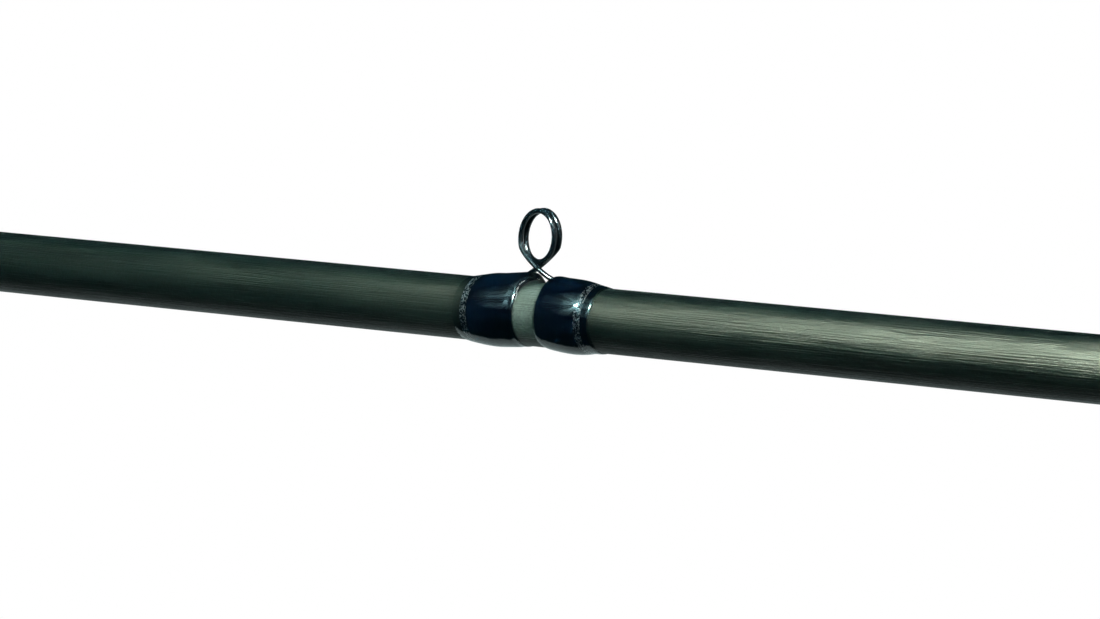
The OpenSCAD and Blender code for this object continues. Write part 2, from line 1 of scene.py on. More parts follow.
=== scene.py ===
import bpy
import json
import math
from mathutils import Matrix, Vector


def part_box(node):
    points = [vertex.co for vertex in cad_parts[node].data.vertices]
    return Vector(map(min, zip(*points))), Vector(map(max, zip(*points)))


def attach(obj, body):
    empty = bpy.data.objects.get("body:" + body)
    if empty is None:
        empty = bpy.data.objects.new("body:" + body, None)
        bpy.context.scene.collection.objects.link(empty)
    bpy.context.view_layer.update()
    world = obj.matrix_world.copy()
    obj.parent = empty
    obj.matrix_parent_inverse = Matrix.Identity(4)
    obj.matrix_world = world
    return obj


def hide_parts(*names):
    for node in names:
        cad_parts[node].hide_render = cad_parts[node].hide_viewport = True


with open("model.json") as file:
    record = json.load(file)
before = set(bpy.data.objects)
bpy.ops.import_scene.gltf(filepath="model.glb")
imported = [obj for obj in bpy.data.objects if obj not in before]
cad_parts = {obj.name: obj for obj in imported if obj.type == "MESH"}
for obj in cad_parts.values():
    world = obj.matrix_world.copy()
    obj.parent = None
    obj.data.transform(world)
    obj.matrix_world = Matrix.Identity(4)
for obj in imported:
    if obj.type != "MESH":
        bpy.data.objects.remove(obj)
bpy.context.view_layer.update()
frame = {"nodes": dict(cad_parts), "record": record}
mm = 0.001


class Wire:  # a node's output that takes part in arithmetic
    def __init__(self, tree, socket):
        self.tree = tree
        self.socket = socket

    def math(self, operation, *others, swap=False):
        node = self.tree.nodes.new("ShaderNodeMath")
        node.operation = operation
        values = [self, *others]
        if swap:
            values.reverse()
        for slot, value in zip(node.inputs, values):
            if isinstance(value, Wire):
                self.tree.links.new(value.socket, slot)
            else:
                slot.default_value = value
        return Wire(self.tree, node.outputs[0])

    def __add__(self, other):
        return self.math("ADD", other)

    __radd__ = __add__

    def __sub__(self, other):
        return self.math("SUBTRACT", other)

    def __rsub__(self, other):
        return self.math("SUBTRACT", other, swap=True)

    def __mul__(self, other):
        return self.math("MULTIPLY", other)

    __rmul__ = __mul__

    def __truediv__(self, other):
        return self.math("DIVIDE", other)

    def clamp(self):
        return self.math("MINIMUM", 1.0).math("MAXIMUM", 0.0)

    def step(self, low, high):  # 0 below low, 1 above high, smooth between
        return smooth(((self - low) / (high - low)).clamp())


def smooth(t):
    return t * t * (3 - 2 * t)


class Bench:  # adds nodes to one tree
    def __init__(self, tree):
        self.tree = tree
        tree.nodes.clear()

    def add(self, kind, settings=None, inputs=None, out=0):
        node = self.tree.nodes.new(kind)
        for name, value in (settings or {}).items():
            if name == "stops":
                ramp = node.color_ramp
                while len(ramp.elements) < len(value):
                    ramp.elements.new(0.5)
                for element, (place, colour) in zip(ramp.elements, value):
                    element.position = place
                    element.color = colour
            else:
                setattr(node, name, value)
        for name, value in (inputs or {}).items():
            if isinstance(value, Wire):
                self.tree.links.new(value.socket, node.inputs[name])
            else:
                node.inputs[name].default_value = value
        return Wire(self.tree, node.outputs[out]) if len(node.outputs) else None

    def mix(self, share, first, second):
        return self.add("ShaderNodeMix", {"data_type": "RGBA"}, {0: share, 6: first, 7: second}, 2)

    def axes(self, vector):
        split = self.add("ShaderNodeSeparateXYZ", None, {0: vector})
        return [Wire(self.tree, socket) for socket in split.socket.node.outputs]

    def vector(self, x, y, z):
        return self.add("ShaderNodeCombineXYZ", None, {0: x, 1: y, 2: z})

    def noise(self, place, scale, detail=2.0, rough=0.5, out="Fac"):
        return self.add("ShaderNodeTexNoise", None,
                        {"Vector": place, "Scale": scale, "Detail": detail, "Roughness": rough}, out)

    def here(self):
        return self.add("ShaderNodeTexCoord", None, None, "Object")

    def bump(self, height, distance, strength=1.0):
        return self.add("ShaderNodeBump", None,
                        {"Height": height, "Distance": distance, "Strength": strength})


def newMaterial(name):
    material = bpy.data.materials.new(name)
    material.use_nodes = True
    return material, Bench(material.node_tree)


def finishSurface(bench, inputs):
    shader = bench.add("ShaderNodeBsdfPrincipled", None, inputs)
    bench.add("ShaderNodeOutputMaterial", None, {"Surface": shader})


def colour(red, green, blue):
    return (red, green, blue, 1.0)


def inMillimetres(bench):  # the place on the rod as one vector, then its x, y and z
    x, y, z = [part * 1000 for part in bench.axes(bench.here())]
    return bench.vector(x, y, z), x, y, z


def degreesRound(y, z):  # round the rod from its top
    return y.math("ARCTAN2", z) * (180 / math.pi)


def deselectAll():
    if bpy.context.object and bpy.context.object.mode != "OBJECT":
        bpy.ops.object.mode_set(mode="OBJECT")
    bpy.ops.object.select_all(action="DESELECT")


def settle(piece, name, angle=40):  # place into the mesh, smooth shading, normals outwards
    deselectAll()
    bpy.context.view_layer.objects.active = piece
    piece.select_set(True)
    piece.name = name
    piece.data.name = name
    bpy.ops.object.transform_apply(location=True, rotation=True, scale=True)
    bpy.ops.object.mode_set(mode="EDIT")
    bpy.ops.mesh.select_all(action="SELECT")
    bpy.ops.mesh.normals_make_consistent(inside=False)
    bpy.ops.object.mode_set(mode="OBJECT")
    bpy.ops.object.shade_smooth_by_angle(angle=math.radians(angle))
    deselectAll()
    return piece


def spinOutline(name, points, sides, angle=40, closed=True):
    # turns [x, radius] points, in mm, about the rod's axis
    deselectAll()
    bpy.ops.mesh.primitive_plane_add(size=mm, location=(0, 0, 0))
    piece = bpy.context.object
    bpy.ops.object.mode_set(mode="EDIT")
    bpy.ops.mesh.select_all(action="SELECT")
    bpy.ops.mesh.merge(type="CENTER")
    first = points[0]
    bpy.ops.transform.translate(value=(first[0] * mm, 0, first[1] * mm))
    here = first
    for there in (points[1:] + [first] if closed else points[1:]):
        step = ((there[0] - here[0]) * mm, 0, (there[1] - here[1]) * mm)
        bpy.ops.mesh.extrude_vertices_move(TRANSFORM_OT_translate={"value": step})
        here = there
    bpy.ops.mesh.select_all(action="SELECT")
    bpy.ops.mesh.remove_doubles(threshold=1e-7)
    bpy.ops.mesh.select_all(action="SELECT")
    bpy.ops.mesh.spin(steps=sides, angle=2 * math.pi, center=(0, 0, 0), axis=(1, 0, 0))
    bpy.ops.mesh.select_all(action="SELECT")
    bpy.ops.mesh.remove_doubles(threshold=1e-7)
    return settle(piece, name, angle)


def moveRound(piece, change):  # change(x, degrees from the top, radius) gives the new radius; all in mm
    for vertex in piece.data.vertices:
        x, y, z = vertex.co / mm
        radius = math.hypot(y, z)
        if radius > 1e-6:
            turn = math.degrees(math.atan2(y, z))
            vertex.co = Vector((x, y, z)) * mm
            scale = change(x, turn, radius) / radius
            vertex.co.y *= scale
            vertex.co.z *= scale
    piece.data.update()
    return piece


def curveThrough(name, points, radius, sides=16):  # a round wire through points in mm
    deselectAll()
    bpy.ops.curve.primitive_bezier_curve_add()
    wire = bpy.context.object
    shape = wire.data
    shape.splines.clear()
    spline = shape.splines.new("POLY")
    spline.points.add(len(points) - 1)
    for point, place in zip(spline.points, points):
        point.co = (*(Vector(place) * mm), 1)
    shape.bevel_depth = radius * mm
    shape.bevel_resolution = sides // 4 - 1
    shape.use_fill_caps = True
    wire.select_set(True)
    bpy.ops.object.convert(target="MESH")
    return settle(bpy.context.object, name, 60)


def bentPath(first, leaving, last, arriving, count):  # an even bend between two places and directions
    second, third = first + leaving, last - arriving
    points = []
    for k in range(count + 1):
        t = k / count
        points.append(first * (1 - t) ** 3 + 3 * second * t * (1 - t) ** 2
                      + 3 * third * t * t * (1 - t) + last * t**3)
    return points


def eased(table, x):  # a smooth curve through [x, value] rows
    rows = len(table)
    if x <= table[0][0]:
        return table[0][1]
    if x >= table[-1][0]:
        return table[-1][1]
    i = next(k for k in range(rows - 1) if x <= table[k + 1][0])
    (x0, y0), (x1, y1) = table[i], table[i + 1]

    def slope(k):
        low, high = max(0, k - 1), min(rows - 1, k + 1)
        return (table[high][1] - table[low][1]) / (table[high][0] - table[low][0])

    span = x1 - x0
    t = (x - x0) / span
    a, b = slope(i) * span, slope(i + 1) * span
    return (y0 * (2 * t**3 - 3 * t**2 + 1) + a * (t**3 - 2 * t**2 + t)
            + y1 * (3 * t**2 - 2 * t**3) + b * (t**3 - t**2))


def put(piece, material, body, slot, *nodes):
    # gives a piece its material and body, and hides the CAD nodes that it stands for
    piece.data.materials.clear()
    piece.data.materials.append(material)
    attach(piece, body)
    if nodes:
        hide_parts(*nodes)
    return piece


blank = {
    "buttDiameter": 11.74,    # at the butt end
    "taper": 0.0045,          # mm of diameter per mm
    "wall": 1.1,
    "tipRear": 9.3,           # diameters of the tip section
    "tipFront": 1.9,
}
buttLow, buttHigh = (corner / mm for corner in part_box("butt_blank"))
tipLow, tipHigh = (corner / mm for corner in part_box("tip_blank"))
originStation = 8 - buttLow.x   # the CAD's x = 0 is this far from the butt end
keeperLow, keeperHigh = (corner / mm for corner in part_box("hook_keeper"))
keeperX = (keeperLow.x + keeperHigh.x) / 2


def buttRadius(x):
    return (blank["buttDiameter"] - blank["taper"] * (x + originStation)) / 2


def tipRadius(x):
    share = (x - tipLow.x) / (tipHigh.x - tipLow.x)
    return (blank["tipRear"] * (1 - share) + blank["tipFront"] * share) / 2


def blankRadius(x):
    return buttRadius(x) if x < tipLow.x else tipRadius(x)


keeperRadius = buttRadius(keeperX)

view = {
    "azimuth": 37.16,     # degrees from the rod's side towards its tip
    "elevation": 7.33,
    "distance": 464.4,    # mm
    "lens": 104.83,
    "right": 1.585,       # shift of the camera to its own right and up, mm
    "up": 0.716,
}
turn, rise = math.radians(view["azimuth"]), math.radians(view["elevation"])
backward = Vector((math.sin(turn) * math.cos(rise), -math.cos(turn) * math.cos(rise), math.sin(rise)))
rightward = Vector((math.cos(turn), math.sin(turn), 0))
upward = backward.cross(rightward)
# the aim is 0.4 mm behind the keeper's middle, on the rod's axis
aim = Vector((keeperX - 0.4, 0, 0))
eye = (aim + backward * view["distance"] + rightward * view["right"] + upward * view["up"]) * mm
bpy.ops.object.camera_add(location=eye, rotation=(math.pi / 2 - rise, 0, turn))
camera = bpy.context.object
camera.name = "mainCamera"
camera.data.lens = view["lens"]
camera.data.sensor_width = 36
camera.data.clip_start = 0.02
camera.data.clip_end = 40
camera.data.dof.use_dof = False
bpy.context.scene.camera = camera
bpy.context.scene.view_settings.view_transform = "Standard"
print("camera placed")

studio = {
    "lampWay": (-0.135, -0.688, 0.713),   # from the keeper to the umbrella lamp's middle
    "lampDistance": 300.0,                # mm
    "reach": 42.0,                        # degrees from its middle to its rim
    "cloth": 17.0,                        # brightness of its cloth, beside the bulb
    "fall": 7.5,                          # degrees over which that falls to a third
    "bulb": 520.0,
    "bulbSize": 6.0,                      # degrees
    "lowest": 70.0,                       # mm over the rod, where the table hides the umbrella
    "room": (0.005, 0.021, 0.029),
    "fill": (0.30, 0.33, 0.33),           # side walls towards the rod's tip
    "under": (0.42, 0.53, 0.53),          # pale floor behind the rod
    "floor": (0.9, 0, -0.075),            # m, the floor's middle
}


def makeWorld():
    world = bpy.data.worlds.new("studio")
    world.use_nodes = True
    bpy.context.scene.world = world
    bench = Bench(world.node_tree)
    look = bench.add("ShaderNodeTexCoord", None, None, "Generated")
    x, y, z = bench.axes(look)
    below = (1 - z.step(-0.1, -0.01)) * y.step(-0.03, 0.01)
    room = bench.mix(below, colour(*studio["room"]), colour(*studio["under"]))
    room = bench.mix(x.step(-0.1, 0.3) * z.step(-0.2, 0.2), room, colour(*studio["fill"]))
    seen = bench.add("ShaderNodeLightPath", None, None, "Is Camera Ray")
    shown = bench.mix(seen, room, colour(1, 1, 1))
    background = bench.add("ShaderNodeBackground", None, {"Color": shown})
    bench.add("ShaderNodeOutputWorld", None, {"Surface": background})


def makeUmbrella():
    way = Vector(studio["lampWay"]).normalized()
    distance = studio["lampDistance"]
    middle = Vector((keeperX, 0, 0)) + way * distance
    radius = distance * math.tan(math.radians(studio["reach"] + 4))
    deselectAll()
    bpy.ops.mesh.primitive_circle_add(vertices=48, radius=radius * mm, fill_type="NGON")
    umbrella = bpy.context.object
    umbrella.rotation_euler = way.to_track_quat("Z", "X").to_euler()
    umbrella.location = middle * mm
    umbrella.name = "umbrella"
    material, bench = newMaterial("umbrellaCloth")
    x, y = bench.axes(bench.here())[:2]
    across = (x * x + y * y).math("SQRT") * (1000 / distance)
    angle = across.math("ARCTANGENT") * (180 / math.pi)
    around = y.math("ARCTAN2", x)
    # folds of the cloth run out from the middle
    coarse = bench.noise(bench.vector(around * 3.4, angle * 0.01, 0.3), 1.0, 3.0, 0.7)
    fine = bench.noise(bench.vector(around * 9.5, angle * 0.03, 4.0), 1.0, 2.0, 0.6)
    folds = (coarse * 0.7 + fine * 0.5).step(0.46, 0.76)
    fade = (angle * (-1 / studio["fall"])).math("EXPONENT")
    rim = 1 - (angle + 6 * coarse).step(studio["reach"] - 2, studio["reach"] + 3)
    bulb = 1 - (angle + 5 * (coarse - 0.5)).step(studio["bulbSize"] - 2, studio["bulbSize"] + 1.5)
    light = (studio["cloth"] * fade * (0.1 + 3.0 * folds) + studio["bulb"] * bulb) * rim
    place = bench.add("ShaderNodeNewGeometry", None, None, "Position")
    height = bench.axes(place)[2] * 1000
    light = light * height.step(studio["lowest"] - 4, studio["lowest"] + 4)
    tint = bench.mix(bulb, colour(0.55, 1.0, 1.05), colour(0.86, 1.0, 0.96))
    glow = bench.add("ShaderNodeEmission", None, {"Color": tint, "Strength": light})
    bench.add("ShaderNodeOutputMaterial", None, {"Surface": glow})
    umbrella.data.materials.append(material)
    umbrella.visible_camera = False
    umbrella.visible_shadow = False


def makeSun():  # soft general light, from the tip's side
    bpy.ops.object.light_add(type="SUN", rotation=(math.radians(18), math.radians(38), 0))
    sun = bpy.context.object
    sun.name = "sun"
    sun.data.energy = 1.5
    sun.data.color = (0.86, 1.0, 0.96)
    sun.data.angle = math.radians(28)


makeWorld()
makeUmbrella()
makeSun()
print("studio lit")


def carbonMaterial():
    material, bench = newMaterial("satinCarbon")
    place, x, y, z = inMillimetres(bench)
    grain = bench.noise(place, 2.4, 2.0, 0.7)
    streak = bench.noise(bench.vector(x * 0.035, y, z), 1.7, 3.0, 0.6)
    # fibres under a fifth of a mm thick spread the gloss round the rod
    fibres = bench.noise(bench.vector(x * 0.02, y, z), 6.0, 1.0, 0.5)
    smudge = bench.noise(bench.vector(x * 0.06, y * 0.3, z * 0.3), 1.0, 4.0, 0.65)
    share = (grain * 0.8 + streak * 0.2).step(0.38, 0.64)
    base = bench.mix(share, colour(0.0, 0.0002, 0.0004), colour(0.0018, 0.0052, 0.0046))
    # bare strip between the keeper's windings, rubbed dull
    strip = (x - keeperX).math("ABSOLUTE").step(2.7, 2.1)
    rubbed = bench.mix(grain.step(0.3, 0.7), colour(0.016, 0.022, 0.019), colour(0.03, 0.038, 0.033))
    base = bench.mix(strip, base, rubbed)
    rough = 0.41 + 0.08 * (streak - 0.5) + 0.3 * (grain - 0.5) - 0.3 * (smudge - 0.5)
    rough = rough.math("MAXIMUM", 0.3)
    bump = bench.bump(fibres + grain * 0.5 + streak * 0.06, 0.0001, 1.0)
    finishSurface(bench, {"Base Color": base, "Roughness": rough, "Normal": bump, "IOR": 1.34,
                          "Specular Tint": colour(0.9, 0.86, 0.64)})
    return material


carbon = carbonMaterial()


def tube(name, x0, x1, outer, inner, steps=24):
    xs = [x0 + (x1 - x0) * k / steps for k in range(steps + 1)]
    outline = [(x, outer(x)) for x in xs] + [(x, inner(x)) for x in reversed(xs)]
    return spinOutline(name, outline, 128, 30)


buttShell = tube("buttShell", buttLow.x, buttHigh.x, buttRadius, lambda x: buttRadius(x) - blank["wall"])
put(buttShell, carbon, "butt_section", "blank", "butt_blank")
print("butt blank turned")

keeper = {
    "wire": 0.78, "coil": 7.4, "pitch": 0.96, "height": 11.42, "offset": -0.2,
    "twist": 16.0, "lean": 6.0, "rearTouch": 20.0, "frontTouch": 27.0,      # degrees
    # where each foot starts, then how far the bend runs on from the coil and into the foot
    "rearLeg": (4.07, 1.0, 1.71), "frontLeg": (2.9, 1.4, 1.9),
    "tongue": (4.2, 2.3, 17.0),   # clear finish along the rear leg: its start, reach and width in degrees
    "padStart": 4.6, "footTip": 7.4,
    "padWidth": 2.0, "padThickness": 0.44,
    "thread": 0.14, "threadPitch": 0.155,
}
# thickness over the blank at distances from the keeper's middle, at the rod's far side and over the foot
rearFinish = {
    "span": (-12.75, -1.6),
    "around": [[-12.75, 0.02], [-12.4, 0.11], [-12, 0.19], [-11, 0.32], [-9, 0.51], [-7, 0.57],
               [-5, 0.44], [-3.4, 0.31], [-2.6, 0.18], [-1.9, 0.155], [-1.7, 0.09], [-1.6, 0.015]],
    "top": [[-12.75, 0.02], [-12, 0.14], [-10.5, 0.42], [-8.5, 0.76], [-6.5, 0.92], [-4, 1.2], [-2.6, 1.36],
            [-2.0, 1.05], [-1.6, 0.1]],
}
frontFinish = {
    "span": (1.9, 12.0),
    "around": [[1.9, 0.02], [2.2, 0.13], [3, 0.28], [5, 0.49], [6.8, 0.57], [8, 0.51],
               [9, 0.4], [10, 0.225], [10.6, 0.175], [11.5, 0.155], [11.85, 0.09], [12, 0.015]],
    "top": [[1.9, 0.1], [2.2, 0.8], [3, 1.12], [4.5, 1.03], [6, 0.97], [7.5, 0.88], [9, 0.64], [10, 0.42],
            [11, 0.25], [12, 0.02]],
}
rearThread = {"span": (-11.35, -1.85), "band": (-11.3, -10.1), "side": -1}
frontThread = {"span": (2.3, 11.55), "band": (9.2, 10.4), "side": 1}


def keeperWire():
    twist, lean = math.radians(keeper["twist"]), math.radians(keeper["lean"])
    out = Vector((-math.sin(twist), -math.cos(twist), 0))
    side = Vector((math.cos(twist), -math.sin(twist), 0))
    up = Vector((0, 0, math.cos(lean))) - out * math.sin(lean)
    start, end = -keeper["rearTouch"], 540 + keeper["frontTouch"]

    def coil(degrees):
        angle = math.radians(degrees)
        middle = Vector((keeper["offset"], 0, keeper["height"]))
        return (middle + keeper["coil"] / 2 * (math.cos(angle) * side + math.sin(angle) * up)
                + out * keeper["pitch"] * (degrees - (start + end) / 2) / 360)

    footHeight = keeperRadius + keeper["wire"] / 2 + 0.02

    def leg(degrees, way, foot, leave, arrive):  # an even bend from the coil down to the foot
        first, last = coil(degrees), Vector((way * foot, 0, footHeight))
        leaving = (coil(degrees + way) - first).normalized() * leave
        bend = bentPath(first, leaving, last, Vector((way * arrive, 0, 0)), 24)[1:]
        run = [way * (foot + 0.25 * k) for k in range(1, 30) if foot + 0.25 * k < keeper["footTip"]]
        return bend + [Vector((x, 0, footHeight)) for x in run + [way * keeper["footTip"]]]

    steps = 160
    turns = [coil(start + (end - start) * k / steps) for k in range(steps + 1)]
    path = leg(start, -1, *keeper["rearLeg"])[::-1] + turns + leg(end, 1, *keeper["frontLeg"])
    wire = curveThrough("keeperWire", path, keeper["wire"] / 2, 20)
    # the feet are hammered flat
    for vertex in wire.data.vertices:
        x, y, z = vertex.co / mm
        flat = min(1, max(0, (abs(x) - keeper["padStart"]) / 0.9))
        flat = flat * flat * (3 - 2 * flat)
        if flat > 0 and z < keeperRadius + 1:
            tip = min(1, max(0, (keeper["footTip"] - abs(x)) / 0.6))
            wide = 1 + (keeper["padWidth"] / keeper["wire"] * (0.55 + 0.45 * math.sqrt(tip)) - 1) * flat
            thin = keeper["padThickness"] / keeper["wire"]
            low = keeperRadius + 0.02
            z = low + (z - low) * (1 + (thin - 1) * flat)
            vertex.co = Vector((x, y * wide, z)) * mm
    for vertex in wire.data.vertices:
        vertex.co.x += keeperX * mm
    wire.data.update()
    return wire


def wireMaterial():
    material, bench = newMaterial("blackWire")
    place = inMillimetres(bench)[0]
    grain = bench.noise(place, 1.4, 3.0, 0.6)
    base = bench.mix(grain.step(0.35, 0.65), colour(0.002, 0.004, 0.0055), colour(0.006, 0.009, 0.011))
    finishSurface(bench, {"Base Color": base, "Roughness": 0.11 + 0.06 * grain, "IOR": 1.5})
    return material


blackWire = wireMaterial()
put(keeperWire(), blackWire, "butt_section", "keeper_wire", "hook_keeper")
print("keeper wire bent")


def bell(turn, width):
    return math.exp(-(turn / width) ** 2)


def ridgeOutline(x0, x1, pitch, height, shape):  # turns of thread, side by side
    turns = max(1, round((x1 - x0) / pitch))
    pitch = (x1 - x0) / turns
    points = []
    for k in range(turns):
        for share, lift in shape:
            x = x0 + pitch * (k + share)
            points.append((x, blankRadius(x) + height * lift))
    return points + [(x1 - 0.01, blankRadius(x1) + 0.005), (x0 + 0.01, blankRadius(x0) + 0.005)]


roundTurn = ((0.08, 0.55), (0.28, 0.92), (0.5, 1.0), (0.72, 0.92), (0.92, 0.55))
plainTurn = ((0.06, 0.6), (0.5, 1.0), (0.94, 0.6))


def threadMaterial(name, dark, light):
    material, bench = newMaterial(name)
    x, y, z = inMillimetres(bench)[1:]
    angle = degreesRound(y, z)
    turns = (x * (2 * math.pi / keeper["threadPitch"]) + angle * (math.pi / 180)).math("SINE")
    fibres = bench.noise(bench.vector(x * 3, angle * 0.35, 0.5), 2.0, 3.0, 0.7)
    base = bench.mix((fibres * 0.7 + turns * 0.12 + 0.1).clamp(), dark, light)
    finishSurface(bench, {"Base Color": base, "Roughness": 0.5 + 0.2 * fibres, "IOR": 1.1,
                          "Normal": bench.bump(fibres, 0.00002, 0.5)})
    return material


navyThread = threadMaterial("navyThread", colour(0.0002, 0.0016, 0.0042), colour(0.0011, 0.0065, 0.0145))


def metalThreadMaterial():
    material, bench = newMaterial("silverThread")
    x, y, z = inMillimetres(bench)[1:]
    angle = degreesRound(y, z)
    place = bench.vector(x * 6.5, angle * 0.42 + x * 2.0, 0.0)
    cells = bench.add("ShaderNodeTexVoronoi", {"feature": "F1"},
                      {"Vector": place, "Scale": 1.0, "Randomness": 0.9}, "Color")
    red, green, blue = bench.axes(cells)
    base = bench.mix(red.step(0.5, 0.9), colour(0.003, 0.006, 0.011), colour(0.6, 0.6, 0.6))
    finishSurface(bench, {"Base Color": base, "Metallic": 0.9, "Roughness": 0.3 + 0.25 * green,
                          "Normal": bench.bump(blue, 0.0002, 1.0)})
    return material


silverThread = metalThreadMaterial()


def clearMaterial():
    material, bench = newMaterial("clearFinish")
    place = inMillimetres(bench)[0]
    dust = bench.noise(place, 0.7, 2.0, 0.5)
    finishSurface(bench, {"Base Color": bench.mix(dust, colour(0.9, 0.95, 0.97), colour(1, 1, 1)),
                          "Transmission Weight": 1.0, "IOR": 1.54, "Roughness": 0.02 + 0.02 * dust,
                          "Normal": bench.bump(dust, 0.00003, 0.6)})
    return material


clearFinish = clearMaterial()


def joined(name, pieces):
    deselectAll()
    for piece in pieces:
        piece.select_set(True)
    bpy.context.view_layer.objects.active = pieces[0]
    if len(pieces) > 1:
        bpy.ops.object.join()
    whole = bpy.context.object
    whole.name = whole.data.name = name
    deselectAll()
    return whole


def woundThread(name, x0, x1, ridge, pitch=0.155, height=0.14, shape=roundTurn, sides=144):
    thread = spinOutline(name, ridgeOutline(x0, x1, pitch, height, shape), sides, 80)

    def overFoot(x, turn, radius):
        share = min(1, max(0, (radius - blankRadius(x) - 0.01) / (height * 0.5)))
        return radius + ridge(x, turn) * share

    return moveRound(thread, overFoot) if ridge else thread


def finishShell(name, x0, x1, thickness, sides=160, steps=60, tongue=None):
    # thickness(x, turn) in mm; its inner wall lies just inside the blank, so no air shows between them
    xs = [x0 + (x1 - x0) * (0.5 - 0.5 * math.cos(math.pi * k / steps)) for k in range(steps + 1)]
    outline = [(x, blankRadius(x) + 0.05) for x in xs]
    shell = spinOutline(name, outline + [(x, blankRadius(x) - 0.03) for x in reversed(xs)], sides, 80)
    moveRound(shell, lambda x, turn, radius:
              blankRadius(x) + max(0.012, thickness(x, turn)) if radius > blankRadius(x) else radius)
    if tongue:  # clear finish drawn out along a leg
        start, reach, width = keeperX - tongue[0], tongue[1], tongue[2]
        for vertex in shell.data.vertices:
            x, y, z = vertex.co / mm
            if x > start:
                share = (x - start) / (x1 - start)
                vertex.co.x += reach * share * share * bell(math.degrees(math.atan2(y, z)), width) * mm
        shell.data.update()
    return shell


def threadRidge(x, turn, side):  # extra height of the thread over one of the keeper's feet
    d = side * (x - keeperX)
    wireRun = 1 - min(1, max(0, (d - 4.3) / 0.9))
    padRun = min(1, max(0, (8.6 - d) / 1.1))
    narrow = (keeper["wire"] + 0.06) * bell(turn, 9.5) * wireRun
    wide = (keeper["padThickness"] + 0.1) / (1 + (abs(turn) / 15.0) ** 6) * padRun * (1 - wireRun)
    return (narrow + wide) if d > 0 else 0


def keeperWinding(prefix, winding, finish, tongue=None):
    x0, x1 = (keeperX + d for d in winding["span"])
    band0, band1 = (keeperX + d for d in winding["band"])
    cadName = prefix.replace("keeper", "keeper_").lower()

    def ridge(x, turn):
        return threadRidge(x, turn, winding["side"])

    def thickness(x, turn):
        around, top = eased(finish["around"], x - keeperX), eased(finish["top"], x - keeperX)
        return around + (top - around) * bell(turn, 40.0)

    runs = [woundThread(prefix + "Run", a, b, ridge) for a, b in ((x0, band0), (band1, x1)) if b - a > 0.1]
    put(joined(prefix + "Thread", runs), navyThread, "butt_section", "thread", cadName + "_thread")
    band = woundThread(prefix + "Band", band0, band1, None, 0.2, 0.16)
    put(band, silverThread, "butt_section", "metallic_thread", cadName + "_band")
    shell = finishShell(prefix + "Finish", *(keeperX + d for d in finish["span"]), thickness, tongue=tongue)
    put(shell, clearFinish, "butt_section", "finish", cadName + "_finish")


keeperWinding("keeperRear", rearThread, rearFinish, keeper["tongue"])
keeperWinding("keeperFront", frontThread, frontFinish)
print("keeper wound and coated")


def corkMaterial():
    material, bench = newMaterial("cork")
    place, x, y, z = inMillimetres(bench)
    ringNumber = (x / cork["ring"]).math("FLOOR")
    tone = bench.noise(bench.vector(ringNumber * 3.7, 0.5, 0.5), 1.0, 0.0)
    cells = bench.add("ShaderNodeTexVoronoi", {"feature": "F1"},
                      {"Vector": place, "Scale": 0.75}, "Distance")
    grain = bench.noise(place, 0.9, 5.0, 0.7)
    pits = bench.noise(bench.vector(x * 0.55 + ringNumber * 9, y * 1.5, z * 1.5), 0.8, 3.0, 0.6)
    pits = pits.step(0.6, 0.68)
    fleck = bench.noise(bench.vector(x * 2.5 + ringNumber * 5, y * 1.2, z * 1.2), 0.8, 2.0, 0.6)
    fleck = fleck.step(0.62, 0.72)
    shade = (grain * 0.55 + cells * 0.25 + (tone - 0.5) * 0.9 + 0.1).clamp()
    base = bench.mix(shade, colour(0.30, 0.165, 0.075), colour(0.62, 0.42, 0.235))
    base = bench.mix(pits * 0.8, base, colour(0.09, 0.042, 0.018))
    base = bench.mix(fleck * 0.5, base, colour(0.19, 0.09, 0.035))
    seam = (x / cork["ring"] + 0.5).math("FRACT") - 0.5
    line = 1 - (seam.math("ABSOLUTE") * cork["ring"]).step(0.08, 0.2)
    base = bench.mix(line * 0.6, base, colour(0.11, 0.055, 0.025))
    finishSurface(bench, {"Base Color": base, "Roughness": 0.74 + 0.14 * grain + 0.08 * pits,
                          "Normal": bench.bump(grain * 0.4 - pits, 0.00025, 0.9)})
    return material


def rubberMaterial():
    material, bench = newMaterial("foamRubber")
    place = inMillimetres(bench)[0]
    cells = bench.noise(place, 3.0, 3.0, 0.7)
    wear = bench.noise(place, 0.15, 3.0, 0.6)
    base = bench.mix((cells * 0.6 + wear * 0.4).step(0.3, 0.7),
                     colour(0.008, 0.011, 0.012), colour(0.026, 0.03, 0.031))
    finishSurface(bench, {"Base Color": base, "Roughness": 0.62 + 0.25 * cells,
                          "Normal": bench.bump(cells, 0.0001, 0.7)})
    return material


def burlMaterial():  # dark burl cork of the trim rings
    material, bench = newMaterial("burlCork")
    place = inMillimetres(bench)[0]
    cells = bench.add("ShaderNodeTexVoronoi", {"feature": "F1"},
                      {"Vector": place, "Scale": 0.55, "Randomness": 1.0}, "Color")
    red = bench.axes(cells)[0]
    grain = bench.noise(place, 1.6, 4.0, 0.7)
    base = bench.mix(red, colour(0.035, 0.016, 0.008), colour(0.17, 0.085, 0.036))
    base = bench.mix(grain.step(0.55, 0.75) * 0.6, base, colour(0.02, 0.01, 0.006))
    finishSurface(bench, {"Base Color": base, "Roughness": 0.58 + 0.2 * grain,
                          "Normal": bench.bump(grain, 0.00012, 0.7)})
    return material


